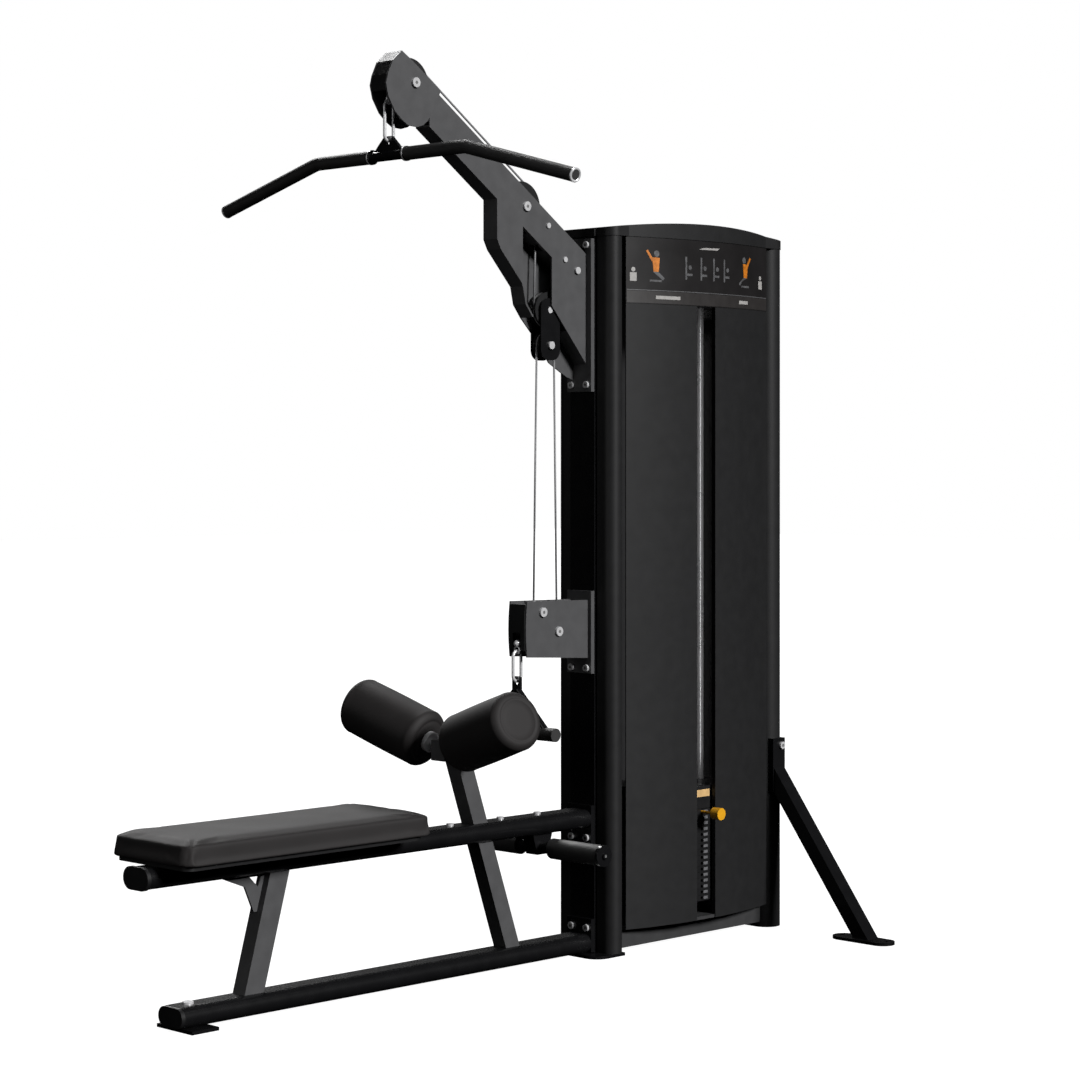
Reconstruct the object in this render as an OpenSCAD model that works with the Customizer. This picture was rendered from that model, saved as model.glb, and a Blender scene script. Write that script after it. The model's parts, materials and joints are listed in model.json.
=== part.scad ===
// Lat pulldown and low row machine: a shrouded weight tower with a high boom, a bench on a rail
// frame and two cable stations that lift one stack.
// Millimetres, +Z up. X = 0 is the tower's narrow front face, +X runs along the tower away from
// the bench, Y = 0 is the plane of symmetry and Z = 0 is the floor.

/* [Tower] */
// Length of the tower along X
tower_l = 702; // [660:1:760]
// Thickness of the tower across its end columns
tower_w = 200; // [190:1:220]
// Height of the tower at its two ends
tower_h = 1878; // [1800:1:1950]
// Rise of the arched cap at the middle
cap_rise = 22; // [10:1:40]
// How far the shroud panels bow out at mid length
panel_bulge = 39; // [20:1:50]
// Centre of the stack window along X
slot_x = 330; // [300:1:360]
// Width of the stack window
slot_w = 72; // [60:1:90]

/* [Boom] */
// Angle of the boom below the horizontal
boom_angle = 34.9; // [34:0.1:36]
// Depth of the boom tube
boom_depth = 84; // [76:1:88]

/* [Bench] */
// Length of the seat pad
pad_l = 738; // [650:1:750]
// Width of the seat pad
pad_w = 290; // [260:1:320]
// Thickness of the seat pad
pad_t = 55; // [40:1:65]
// Height of the top of the seat pad
seat_h = 441; // [430:1:460]
// Width of the flat-oval rails
rail_w = 88; // [80:1:96]
// Height of the flat-oval rails
rail_h = 48; // [44:1:52]

/* [Thigh rollers] */
// Outer diameter of a roller
roller_d = 146; // [120:1:150]
// Length of a roller
roller_l = 249; // [220:1:255]
// Upward tilt of each roller towards its outer end
roller_tilt = 19.4; // [15:0.1:22]

/* [Handles] */
// Half width of the lat bar
bar_half = 628; // [500:1:660]
// Half width of the lat bar's straight middle
bar_straight = 268; // [200:1:300]
// Drop of the lat bar's ends
bar_drop = 95; // [40:1:110]

/* [Weight stack] */
// Number of plates below the head plate
plate_count = 16; // [10:1:16]
// Pitch of the plates
plate_pitch = 15.2; // [14.6:0.1:15.2]
// Length of a plate along the tower
plate_l = 300; // [280:1:310]

/* [Hidden] */
$fn = 64;
steel_black = "#2b2b2d";
steel_dark = "#1b1b1d";
panel_grey = "#343436";
plate_grey = "#4a4a4c";
chrome = "silver";
rubber = "#17171a";
vinyl = "#1c1c1e";

gap = 0.3;            // clearance between faces on different bodies
half_w = tower_w / 2;

// Columns and shroud
tube_half = 43;       // half width of the front column tube
tube_d = 52;          // depth of the front column tube along X
trim_x0 = 6;          // front edge of the rounded trims
trim_r = 27;          // radius of the rounded trims
rear_d = 80;          // depth of the rear column along X
rear_x0 = tower_l - rear_d;
foot_t = 8;           // thickness of the foot plates
panel_x0 = 61;        // the panels run from here
panel_x1 = rear_x0 - 1;
panel_mid = (panel_x0 + panel_x1) / 2;
panel_half = (panel_x1 - panel_x0) / 2;
bulge_r = (pow(panel_half, 2) + pow(panel_bulge, 2)) / (2 * panel_bulge);
bulge_y = bulge_r - panel_bulge - half_w + 2; // Y of the near bow's centre
panel_t = 2.5;
tray_z = 66;          // underside of the tray that the stack stands on
tray_t = 8;
cap_z0 = 1857;        // underside of the cap
header_z0 = 1684;
beam_z = 1690;        // plate between the columns at the top
slot_x0 = slot_x - slot_w / 2;
slot_x1 = slot_x + slot_w / 2;
cap_r = (pow(tower_l / 2, 2) + pow(cap_rise, 2)) / (2 * cap_rise);
mount_t = 12;         // thickness of the plates that bolt to the tower
mount_bolt_y = 27;
mount_bolt_z = [72, 304, 742, 1473, 1834];

// Pulley centres [x, z] and the radius at which the cable runs
cable_r = 2.6;
head_c = [-612, 2192];
head_pr = 58;
boom_c = [-229, 1919];
boom_pr = 60;
upper_c = [-136, 1661];
upper_pr = 42;
entry_c = [-46, 1766];
entry_pr = 48;
lower_c = [-136, 1571];
lower_pr = 31;
top_pr = 48;
stack_x = slot_x + 2; // the stack's centre and the selector pin
top_c = [stack_x - top_pr, 1766];
row_c = [-121, 842];
row_pr = 27;
anchor_c = [-178, 893];
ferrule_z = 921;      // top of the fixed end's ferrule
pulley_half = 10;
axle_r = 8;
boom_half = 25;       // half width of the boom and its gussets
boom_wall = 4;
head_half = 30;       // half width over the head's side plates
box_half = 32;        // half width over the row box
box_wall = 4;
yoke_half = 19;       // half width over the floating block's plates
yoke_t = 3;
pulley_window = 20;   // half width of the tower's window for the entry pulley

// Handles
hook_bow = 14;        // bow radius of a snap hook
hook_rod = 4;
eye_r = 9;            // ring of a stop ball
eye_t = 2.5;
lat_x = head_c[0] - head_pr;
lat_hook_z = 2145;    // centre line of the hook's top bow
lat_hook_l = 97;      // from bow to bow
lat_ball = [lat_x, 2156, 6];
lat_bar_z = 2013;
bar_r = 12.5;
grip_r = 16.5;
row_ball = [-237, row_c[1] - row_pr, 9];
row_hook_z = 796;
row_hook_l = 76;
row_grip_z = 593;
row_arm_y = 105;
row_grip_half = 138;
drop_angle = atan2(bar_drop, bar_half - bar_straight);

// Bench
rail_wall = 3;
rail_z = 32;          // centre height of the floor rail
seat_rail_z = 353;    // centre height of the seat rail
seat_rail_top = seat_rail_z + rail_h / 2;
seat_rail_low = seat_rail_z - rail_h / 2;
rail_top = rail_z + rail_h / 2;
floor_rail_x0 = -1315;
seat_rail_x0 = -1410;
rail_bolt_x = [-469, -297, -166];
pad_x1 = -652;
pad_x0 = pad_x1 - pad_l;
pad_corner = 34;
pad_end_r = 1056;     // bow of the pad's end nearest the tower
leg_top_x = -1026;
leg_foot_x = -1102;
leg_l = 57;           // leg's size along X
post_slope = 19.2;    // lean of the thigh post from the vertical
post_w = 45;
post_x0 = -273.6;     // post's axis on top of the floor rail
hub = [-483, 0, 565]; // where the two roller axles meet
hub_half = 24;
roller_start = 60;    // from the hub to a roller's inner end
roller_plug = 12;
roller_bore = axle_r + 0.08;
foot_c = [-165, 295];
foot_half = 228;
foot_tube_r = 15;
foot_sleeve_r = 26;

// Rear struts
strut_x = tower_l - rear_d / 2;
strut_bolt = [strut_x + 10, 497];
strut_top = 517;
strut_lean = 1.33;    // fall over run of a strut
strut_foot_y = 382;   // inner edge of a strut where it meets its foot
strut_reach = 109;    // face of the saddle plate

// Stack
plate_z0 = 112;
stack_top = plate_z0 + plate_count * plate_pitch;
plate_half_w = 119;
head_plate_z = stack_top + 0.8;
head_plate_h = 59;
pin_z = stack_top - plate_pitch / 2 - 0.25;
pin_r = 4.2;
pin_hole_r = 4.6;
stem_r = 11.5;
stem_top = head_plate_z + head_plate_h + 40;
rod_dx = 127;
rod_r = 10;

// ---------------------------------------------------------------- helpers

// Extrudes an outline drawn in the XZ plane from y0 to y1
module slab(y0, y1) {
  translate([0, y1, 0]) rotate([90, 0, 0]) linear_extrude(y1 - y0) children();
}

// Extrudes an outline drawn in the YZ plane from x0 to x1
module bar_x(x0, x1) {
  translate([x0, 0, 0]) rotate([90, 0, 90]) linear_extrude(x1 - x0) children();
}

module both_sides() {
  children();
  mirror([0, 1, 0]) children();
}

// Cylinder along Y
module axle(c, r, y0, y1) {
  translate([c[0], y1, c[1]]) rotate([90, 0, 0]) cylinder(r = r, h = y1 - y0);
}

// Cylinder between two points
module rod(p, q, r) {
  d = q - p;
  translate(p)
    rotate([0, acos(d[2] / norm(d)), atan2(d[1], d[0])])
      cylinder(r = r, h = norm(d));
}

// Stadium, w wide and h high, centred
module oval(w, h) {
  square([w - h, h], center = true);
  for (s = [-1, 1]) translate([s * (w - h) / 2, 0]) circle(d = h);
}

// Rectangle with rounded corners
module round_rect(x0, y0, x1, y1, r) {
  translate([x0 + r, y0]) square([x1 - x0 - 2 * r, y1 - y0]);
  translate([x0, y0 + r]) square([x1 - x0, y1 - y0 - 2 * r]);
  for (x = [x0 + r, x1 - r])
    for (y = [y0 + r, y1 - r])
      translate([x, y]) circle(r = r);
}

// Hollow leaning tube in the XZ plane between heights z0 and z1, w wide across Y
module lean_tube(x0, z0, x1, z1, l, w) {
  wall = 3;
  slope = (x1 - x0) / (z1 - z0);
  difference() {
    slab(-w / 2, w / 2)
      polygon([[x0 - l / 2, z0], [x0 + l / 2, z0], [x1 + l / 2, z1], [x1 - l / 2, z1]]);
    slab(wall - w / 2, w / 2 - wall)
      polygon([[x0 - slope - l / 2 + wall, z0 - 1], [x0 - slope + l / 2 - wall, z0 - 1],
               [x1 + slope + l / 2 - wall, z1 + 1], [x1 + slope - l / 2 + wall, z1 + 1]]);
  }
}

// Grooved cable pulley about Y, with its bore
module pulley(c, pr) {
  rim = pr + 4;
  seat = pr - cable_r - 0.4;
  groove = cable_r + 0.6;
  lip = 6.5;
  bore = axle_r + 0.05;
  translate([c[0], 0, c[1]]) rotate([90, 0, 0])
    rotate_extrude($fn = 96)
      polygon([[bore, -pulley_half], [rim, -pulley_half], [rim, -lip], [seat, -groove],
               [seat, groove], [rim, lip], [rim, pulley_half], [bore, pulley_half]]);
}

// Cable wrapped on a pulley, from angle a0 through sweep, with +X at 0 and +Z at 90
module wrap(c, pr, a0, sweep) {
  translate([c[0], 0, c[1]]) rotate([90, 0, 0]) rotate([0, 0, a0])
    rotate_extrude(angle = sweep, $fn = 96)
      translate([pr, 0]) circle(r = cable_r, $fn = 20);
}

// Axle bolt: shank, a spacer on each side of the pulley and a head on each end
module axle_bolt(c, inner, outer, head_r) {
  axle(c, axle_r, -outer, outer);
  both_sides() {
    axle(c, 12, pulley_half + 0.5, inner);
    axle(c, head_r, outer, outer + 6);
  }
}

// Band of the near shroud, in plan, between two X positions
module bow_panel(x0, x1) {
  intersection() {
    translate([panel_mid, bulge_y]) difference() {
      circle(r = bulge_r, $fn = 720);
      circle(r = bulge_r - panel_t, $fn = 720);
    }
    translate([x0, -half_w - panel_bulge]) square([x1 - x0, panel_bulge + 20]);
  }
}

function bow_y(x) = bulge_y - sqrt(pow(bulge_r, 2) - pow(x - panel_mid, 2));

// Plan of the space between the two bowed shrouds, grown by lip
module shroud_plan(lip) {
  intersection() {
    translate([panel_mid, bulge_y]) circle(r = bulge_r + lip, $fn = 720);
    translate([panel_mid, -bulge_y]) circle(r = bulge_r + lip, $fn = 720);
    translate([panel_x0, -half_w - panel_bulge]) square([panel_x1 - panel_x0, 2 * half_w + 2 * panel_bulge]);
  }
}

// ---------------------------------------------------------------- tower

module mount_bolt_holes(x0, x1, zs) {
  for (z = zs) for (s = [-1, 1])
    translate([x0, s * mount_bolt_y, z]) rotate([0, 90, 0]) cylinder(r = 5.5, h = x1 - x0);
}

module entry_window(x0, x1) {
  translate([x0, -pulley_window, 1700]) cube([x1 - x0, 2 * pulley_window, 130]);
}

// Front column tube on its foot plate
module front_column() {
  foot_r = 40;
  wall = 4;
  color(steel_black) {
    difference() {
      translate([0, -tube_half, foot_t]) cube([tube_d, 2 * tube_half, cap_z0 - foot_t]);
      translate([wall, wall - tube_half, foot_t - 1])
        cube([tube_d - 2 * wall, 2 * (tube_half - wall), cap_z0]);
      entry_window(-1, tube_d + 1);
      mount_bolt_holes(-1, wall + 1, mount_bolt_z);
    }
    linear_extrude(foot_t) {
      translate([0, foot_r - 96]) square([60, 2 * (96 - foot_r)]);
      translate([-5, -96]) square([65, 192]);
      for (s = [-1, 1]) translate([-5, s * (96 - foot_r)]) circle(r = foot_r);
      translate([-45, foot_r - 96]) square([50, 2 * (96 - foot_r)]);
    }
  }
}

module rear_plan(inset) {
  translate([strut_x, 0]) rotate(90) oval(tower_w - 2 * inset, rear_d - 2 * inset);
}

// Rear column tube on its foot plate
module rear_column() {
  wall = 4;
  color(panel_grey) {
    difference() {
      translate([0, 0, foot_t]) linear_extrude(cap_z0 - foot_t) rear_plan(0);
      linear_extrude(cap_z0 + 1) rear_plan(wall);
      axle(strut_bolt, 5.5, -half_w - 1, half_w + 1);
    }
    linear_extrude(foot_t) rear_plan(0);
  }
}

// Rounded trims that close the front column on each side
module front_trims() {
  wall = 3;
  inner = tube_half + 4;
  color(panel_grey) both_sides()
    translate([0, 0, foot_t]) linear_extrude(cap_z0 - foot_t) difference() {
      union() {
        translate([trim_x0, trim_r - half_w]) square([2 * trim_r, half_w - trim_r - inner]);
        translate([trim_x0 + trim_r, trim_r - half_w]) circle(r = trim_r);
      }
      translate([trim_x0 + wall, trim_r - half_w])
        square([2 * (trim_r - wall), half_w - trim_r - inner - wall]);
      translate([trim_x0 + trim_r, trim_r - half_w]) circle(r = trim_r - wall);
    }
}

module tower_plan(lip) {
  translate([-lip, -tube_half - lip]) square([tube_d, 2 * (tube_half + lip)]);
  for (s = [-1, 1]) translate([trim_x0 + trim_r, s * (half_w - trim_r)]) circle(r = trim_r + lip);
  translate([trim_x0 - lip, trim_r - half_w]) square([60, 2 * (half_w - trim_r)]);
  translate([trim_x0 + trim_r, -half_w - lip]) square([strut_x - trim_x0 - trim_r, 2 * (half_w + lip)]);
  shroud_plan(lip);
  rear_plan(-lip);
}

// Arched cap over the whole tower, hollow from below
module top_cap() {
  color(panel_grey) difference() {
    intersection() {
      translate([0, 0, cap_z0]) linear_extrude(60) tower_plan(2);
      slab(-half_w - 60, half_w + 60)
        translate([tower_l / 2, tower_h + cap_rise - cap_r]) circle(r = cap_r, $fn = 720);
    }
    translate([60, 10 - half_w, cap_z0 - 1]) cube([rear_x0 - 60, 2 * half_w - 20, 15]);
  }
}

// Kick plates, stack tray and the head beam with the bracket of the top pulley
module inner_frame() {
  kick_y = 75;
  kick_t = 6;
  beam_half = tube_half + 3;
  bracket_y = 16;
  color(plate_grey) {
    both_sides() translate([panel_x0, -kick_y, 15])
      cube([panel_x1 - panel_x0, kick_t, tray_z - 15]);
    translate([0, 0, tray_z]) linear_extrude(tray_t) shroud_plan(-panel_t - 0.5);
    difference() {
      translate([tube_d, -beam_half, beam_z]) cube([rear_x0 - tube_d, 2 * beam_half, 8]);
      for (s = [-1, 1]) translate([stack_x + s * rod_dx, 0, beam_z - 1]) cylinder(r = rod_r + 0.1, h = 10);
      translate([stack_x, 0, beam_z - 1]) cylinder(r = 12, h = 10);
    }
    both_sides() difference() {
      slab(bracket_y, bracket_y + 6)
        translate([top_c[0] - 30, beam_z + 8]) square([60, 92]);
      axle(top_c, axle_r + gap, 0, 40);
    }
  }
}

// Shroud half from x0 to x1 with a return along the slot at x_slot
module slot_panel(x0, x1, x_slot) {
  height = header_z0 - tray_z - 0.5;
  lift = tray_t + 0.5;
  color(panel_grey) translate([0, 0, tray_z]) {
    linear_extrude(height) bow_panel(x0, x1);
    translate([x_slot, bow_y(x_slot) + 1, lift]) cube([panel_t, 11, height - lift]);
  }
}

module left_panel() { slot_panel(panel_x0, slot_x0, slot_x0 - panel_t); }

module right_panel() { slot_panel(slot_x1, panel_x1, slot_x1); }

module far_panel() {
  color(panel_grey) mirror([0, 1, 0]) translate([0, 0, tray_z])
    linear_extrude(cap_z0 - tray_z - 0.5) bow_panel(panel_x0, panel_x1);
}

module header_placard() {
  color(steel_dark) translate([0, 0, header_z0]) linear_extrude(cap_z0 - header_z0 - 0.5)
    bow_panel(panel_x0, panel_x1);
}

// ---------------------------------------------------------------- bench frame

module rail_shape() {
  difference() {
    oval(rail_w, rail_h);
    oval(rail_w - 2 * rail_wall, rail_h - 2 * rail_wall);
  }
}

module mount_plate(z0, z1) {
  difference() {
    translate([-mount_t, -tube_half, z0]) cube([mount_t, 2 * tube_half, z1 - z0]);
    mount_bolt_holes(-mount_t - 1, 1, mount_bolt_z);
  }
}

// Floor rail with its tower plate and the foot pad under its free end
module floor_rail() {
  color(steel_black) {
    difference() {
      bar_x(floor_rail_x0, -mount_t) translate([0, rail_z]) rail_shape();
      translate([-1275, 0, rail_z]) cylinder(r = 5.5, h = rail_h);
    }
    mount_plate(10, 95);
    translate([-1313, -65, 0]) cube([76, 130, rail_z - rail_h / 2]);
  }
}

module seat_rail() {
  color(steel_black) {
    difference() {
      bar_x(seat_rail_x0, -mount_t) translate([0, seat_rail_z]) rail_shape();
      for (x = rail_bolt_x) translate([x, 0, seat_rail_z]) cylinder(r = 5.5, h = rail_h);
    }
    mount_plate(285, 388);
  }
}

// Moulded caps that close the rails' outer ends
module rail_end_caps() {
  color(rubber) {
    bar_x(floor_rail_x0 - 10, floor_rail_x0) translate([0, rail_z]) oval(rail_w, rail_h - 2);
    bar_x(seat_rail_x0 - 10, seat_rail_x0) translate([0, seat_rail_z]) oval(rail_w + 4, rail_h + 4);
  }
}

// Leaning front leg with its curved open gusset
module front_leg() {
  z0 = rail_top;
  z1 = seat_rail_low;
  edge = leg_top_x - leg_l / 2;
  foot_z = 240;
  slope = (leg_top_x - leg_foot_x) / (z1 - z0);
  color(plate_grey) {
    lean_tube(leg_foot_x, z0, leg_top_x, z1, leg_l, 44);
    slab(-3, 3) difference() {
      polygon([[edge, z1], [edge - 134, z1], [edge - 60, 300], [edge - 34, foot_z],
               [edge - (z1 - foot_z) * slope, foot_z]]);
      translate([edge - 140, foot_z - 2]) circle(r = 86, $fn = 96);
      polygon([[edge - 12, z1 - 8], [edge - 46, z1 - 8], [edge - 22, z1 - 32]]);
    }
  }
}

function post_x(z) = post_x0 - (z - rail_top) * tan(post_slope);

// Post of the thigh rollers, below and above the seat rail, with the hub lug
module thigh_post() {
  top = hub[2] + 12;
  l = post_w / cos(post_slope);
  lug_x = post_x(hub[2]) - l / 2;
  color(plate_grey) {
    lean_tube(post_x0, rail_top, post_x(seat_rail_low), seat_rail_low, l, post_w);
    lean_tube(post_x(seat_rail_top), seat_rail_top, post_x(top), top, l, post_w);
    difference() {
      slab(-hub_half, hub_half)
        translate([hub[0] - 27, hub[2] - 25]) square([lug_x - hub[0] + 27, 50]);
      both_sides() roller_frame() translate([0, 0, 4]) cylinder(r = axle_r + 0.1, h = 60);
    }
  }
}

// Places children so that +Z runs out along the near roller's axle from the hub
module roller_frame() {
  up = sin(roller_tilt);
  dir = [-up * sin(post_slope), -cos(roller_tilt), up * cos(post_slope)];
  translate(hub)
    rotate([0, acos(dir[2]), atan2(dir[1], dir[0])]) children();
}

// Axles of the two rollers with their inner collars
module thigh_axles() {
  end = roller_start + roller_l - roller_plug - gap;
  color(chrome) both_sides() roller_frame() {
    translate([0, 0, 12]) cylinder(r = axle_r, h = end - 12);
    translate([0, 0, roller_start - 12]) cylinder(r = 26, h = 11.5);
  }
}

// Roller with its blind bore open toward the hub
module roller() {
  edge = 14;
  body_r = roller_d / 2;
  roller_frame() translate([0, 0, roller_start])
    rotate_extrude($fn = 96) {
      translate([roller_bore, 0]) square([body_r - edge - roller_bore, roller_l]);
      translate([0, roller_l - roller_plug]) square([roller_bore + 1, roller_plug]);
      translate([body_r - edge - 1, edge]) square([edge + 1, roller_l - 2 * edge]);
      for (z = [edge, roller_l - edge]) translate([body_r - edge, z]) circle(r = edge, $fn = 32);
    }
}

module roller_near() { color(vinyl) roller(); }

module roller_far() { color(vinyl) mirror([0, 1, 0]) roller(); }

module seat_board() {
  inset = 12;
  color(steel_dark) translate([0, 0, seat_rail_top])
    linear_extrude(seat_h - pad_t - seat_rail_top)
      round_rect(pad_x0 + inset, inset - pad_w / 2, pad_x1 - 2 * inset, pad_w / 2 - inset,
                 pad_corner - inset);
}

module seat_pad() {
  color(vinyl) translate([0, 0, seat_h - pad_t]) linear_extrude(pad_t) intersection() {
    round_rect(pad_x0, -pad_w / 2, pad_x1, pad_w / 2, pad_corner);
    translate([pad_x1 - pad_end_r, 0]) circle(r = pad_end_r, $fn = 720);
  }
}

// Foot bar under the seat rail, with end caps and its clamp block
module foot_bar() {
  color(steel_black) {
    axle(foot_c, foot_tube_r, -foot_half - 1, foot_half + 1);
    both_sides() {
      axle(foot_c, foot_sleeve_r + 1, -foot_half - 8, -foot_half - 0.2);
      axle(foot_c, 8, -foot_half - 13, -foot_half - 8);
    }
    slab(-20, 20)
      polygon([[foot_c[0] - 34, seat_rail_low], [foot_c[0] + 34, seat_rail_low],
               [foot_c[0] + 20, foot_c[1] - 18], [foot_c[0] - 20, foot_c[1] - 18]]);
  }
}

module foot_sleeves() {
  color(rubber) both_sides() difference() {
    axle(foot_c, foot_sleeve_r, -foot_half, -57);
    axle(foot_c, foot_tube_r + 0.1, -foot_half - 1, -56);
  }
}

// ---------------------------------------------------------------- rear struts

// Strut from the rear column down to its own foot plate, one on each side
module rear_struts() {
  half_x = 22;
  reach_z = foot_t + (strut_foot_y - strut_reach) * strut_lean;
  thick = 50;
  color(steel_black) both_sides() {
    difference() {
      translate([strut_x - 25, -strut_reach, reach_z]) cube([50, 18, strut_top - reach_z]);
      translate([strut_x, rear_d / 2 - half_w, 0]) cylinder(r = rear_d / 2 + 0.1, h = 600);
      axle(strut_bolt, 5.5, -strut_reach - 1, 0);
    }
    bar_x(strut_x - half_x, strut_x + half_x)
      polygon([[-strut_foot_y, foot_t], [-strut_foot_y - thick, foot_t],
               [-strut_reach, reach_z + thick * strut_lean], [-strut_reach, reach_z]]);
    difference() {
      linear_extrude(foot_t) translate([strut_x - 6, -405]) rotate(90) oval(190, 68);
      for (y = [-478, -332]) translate([strut_x - 6, y, -1]) cylinder(r = 6.5, h = foot_t + 2);
    }
  }
}

// ---------------------------------------------------------------- boom

function boom_mid(x) = 1767 - (x + 23) * tan(boom_angle);
boom_v = boom_depth / 2 / cos(boom_angle);  // half depth measured vertically
boom_tip_x = -560;
function boom_low(x) = boom_mid(x) - boom_v;

module boom_outline(x0, x1, v) {
  polygon([[x0, boom_mid(x0) - v], [x1, boom_mid(x1) - v],
           [x1, boom_mid(x1) + v], [x0, boom_mid(x0) + v]]);
}

// Welded tube, slotted where the pulleys and the cable pass
module boom() {
  slot_half = 14;
  color(plate_grey) difference() {
    slab(-boom_half, boom_half) boom_outline(boom_tip_x, -mount_t, boom_v);
    slab(boom_wall - boom_half, boom_half - boom_wall)
      boom_outline(boom_tip_x - 1, 1 - mount_t, boom_v - boom_wall / cos(boom_angle));
    for (c = [[head_c, head_pr], [boom_c, boom_pr], [entry_c, entry_pr]])
      axle(c[0], c[1] + 9, -slot_half, slot_half);
    translate([boom_c[0] + boom_pr - 12, -slot_half, 1780]) cube([24, 2 * slot_half, 90]);
    axle(boom_c, axle_r + 0.1, -boom_half - 1, boom_half + 1);
    axle(entry_c, axle_r + 0.1, -boom_half - 1, boom_half + 1);
  }
}

// Front wall, far side plate, the near side's two panels, lower web and the tower plate
module boom_brace() {
  x0 = -331;
  panel_x = -241;
  web_x = -137;
  notch_z = lower_c[1] + 17;
  color(plate_grey) {
    slab(boom_half - boom_wall, boom_half)
      polygon([[x0, boom_low(x0)], [x0, 1831], [-318, 1806], [-237, 1717], [-227, 1672],
               [-202, 1640], [-162, 1600], [-152, notch_z], [-120, notch_z], [-116, 1548],
               [-101, 1528], [-38, 1494], [-mount_t, 1485], [-mount_t, boom_low(-mount_t)]]);
    slab(-boom_half, boom_wall - boom_half) {
      polygon([[x0, boom_low(x0)], [x0, 1831], [-318, 1806], [panel_x, 1721],
               [panel_x, boom_low(panel_x)]]);
      polygon([[web_x, boom_low(web_x)], [web_x, 1673], [-mount_t, 1527],
               [-mount_t, boom_low(-mount_t)]]);
    }
    slab(boom_wall - boom_half, boom_half - boom_wall) {
      polygon([[x0, boom_low(x0)], [x0, 1831], [-318, 1806], [-237, 1717], [-227, 1672],
               [-202, 1640], [-199, 1643], [-222, 1674], [-232, 1719], [-313, 1808],
               [x0 + 5, 1832], [x0 + 5, boom_low(x0 + 5)]]);
      polygon([[-82, 1609], [-mount_t, 1527], [-mount_t, 1532], [-79, 1611]]);
    }
    difference() {
      mount_plate(1455, 1850);
      entry_window(-mount_t - 1, 1);
    }
  }
}

// Side plates of the head, bolted over the boom's tip
module head_housing() {
  color(plate_grey) both_sides() difference() {
    slab(boom_half, head_half)
      polygon([[-655, 2265], [-684, 2239], [-700, 2205], [-706, 2181], [-698, 2150], [-677, 2117],
               [-657, 2100], [-635, 2087], [-606, 2085], [-586, 2091], [-570, 2103], [-553, 2131],
               [-527, 2180], [-622, 2245]]);
    axle(head_c, axle_r + 0.1, 0, 60);
  }
}

// Moulded nose that closes the front of the head
module head_cap() {
  inner = boom_half - gap;
  color(steel_dark) slab(-inner, inner)
    polygon([[-702, 2166], [-706, 2181], [-700, 2205], [-684, 2239], [-655, 2265], [-648, 2257],
             [-676, 2233], [-691, 2202], [-696, 2181], [-692, 2168]]);
}

module head_pulley() { color(steel_dark) pulley(head_c, head_pr); }

module boom_pulley() { color(steel_dark) pulley(boom_c, boom_pr); }

module entry_pulley() { color(steel_dark) pulley(entry_c, entry_pr); }

module top_pulley() { color(steel_dark) pulley(top_c, top_pr); }

module row_pulley() { color(steel_dark) pulley(row_c, row_pr); }

module fixed_axles() {
  inside = boom_half - boom_wall;
  color(chrome) {
    axle_bolt(head_c, boom_half, head_half, 12);
    axle_bolt(boom_c, inside, boom_half, 12);
    axle_bolt(entry_c, inside, boom_half, 9);
    axle_bolt(top_c, 16, 22, 12);
    axle_bolt(row_c, box_half - box_wall, box_half, 12);
    axle_bolt(anchor_c, box_half - box_wall, box_half, 12);
  }
}

// Every bolt that holds the frame, by its head and a short shank
module frame_bolts() {
  color(chrome) {
    for (z = mount_bolt_z) for (s = [-1, 1]) translate([0, s * mount_bolt_y, z]) rotate([0, 90, 0]) {
      translate([0, 0, -mount_t - 6]) cylinder(r = 9, h = 6);
      translate([0, 0, -mount_t]) cylinder(r = 5, h = mount_t + 12);
    }
    both_sides() {
      axle(strut_bolt, 10, -strut_reach - 6, -strut_reach);
      axle(strut_bolt, 5, -strut_reach, -half_w + 10);
      for (c = [[-151, 1875], [-90, 1792]]) axle(c, 7, -boom_half - 4, -boom_half);
    }
    for (x = rail_bolt_x) translate([x, 0, seat_rail_top]) {
      cylinder(r = 9, h = 6);
      translate([0, 0, -14]) cylinder(r = 5, h = 14);
    }
    translate([-1275, 0, rail_top]) {
      cylinder(r = 13, h = 5);
      translate([0, 0, -14]) cylinder(r = 5, h = 14);
    }
  }
}

// ---------------------------------------------------------------- floating block

// Pair of yoke plates of the floating block
module block_yoke() {
  color(steel_black) both_sides() slab(yoke_half - yoke_t, yoke_half) difference() {
    round_rect(lower_c[0] - 34, lower_c[1] - 38, lower_c[0] + 34, upper_c[1] + 30, 26);
    for (c = [lower_c, upper_c]) translate(c) circle(r = axle_r + 0.1);
  }
}

module block_axles() {
  color(chrome) {
    axle_bolt(lower_c, yoke_half - yoke_t, yoke_half, 10);
    axle(upper_c, axle_r, -yoke_half, yoke_half);
    both_sides() axle(upper_c, 12, pulley_half + 0.5, yoke_half - yoke_t);
  }
}

module block_upper_pulley() { color(steel_dark) pulley(upper_c, upper_pr); }

module block_lower_pulley() { color(steel_dark) pulley(lower_c, lower_pr); }

// Turns of the two cables round the floating block
module block_cables() {
  color(chrome) {
    wrap(lower_c, lower_pr, 0, 180);
    wrap(upper_c, upper_pr, 180, 180);
  }
}

// ---------------------------------------------------------------- cables

run = boom_c - head_c;
run_normal = atan2(run[1], run[0]) + acos((head_pr - boom_pr) / norm(run));

function on_pulley(c, pr, a) = [c[0] + pr * cos(a), 0, c[1] + pr * sin(a)];

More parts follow.
